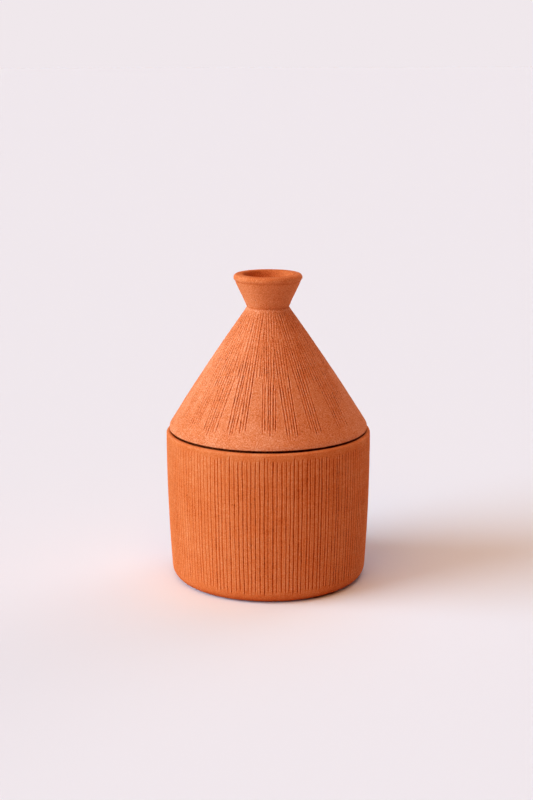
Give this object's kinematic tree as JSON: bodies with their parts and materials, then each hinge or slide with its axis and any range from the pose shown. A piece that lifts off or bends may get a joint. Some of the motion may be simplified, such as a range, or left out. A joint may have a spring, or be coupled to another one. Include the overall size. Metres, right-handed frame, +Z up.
{
  "type": "tagine pot",
  "caption": "Small lidded terracotta jar in the shape of a tagine: round pot with combed wall, tall cone lid that seats in the rim, and a funnel knob to lift it.",
  "frame": {"origin": "middle of the surface that the foot ring stands on", "axes": "+Z up along the axis that the pot was thrown on; X and Y are level, and -Y faces the viewer of the picture"},
  "size_m": [0.1, 0.1, 0.1506],
  "materials": {
    "pot_terracotta": "unglazed, combed, matt",
    "lid_terracotta": "unglazed, combed, matt",
    "knob_terracotta": "unglazed, smooth, matt"
  },
  "bodies": {
    "pot_body": {"pot": "pot_terracotta"},
    "lid": {"lid_cone": "lid_terracotta", "lid_knob": "knob_terracotta"}
  },
  "joints": [
    {"name": "lid_lift", "type": "slide", "parent": "pot_body", "child": "lid", "axis": [0, 0, 1], "range_m": [0, 0.12]}
  ]
}
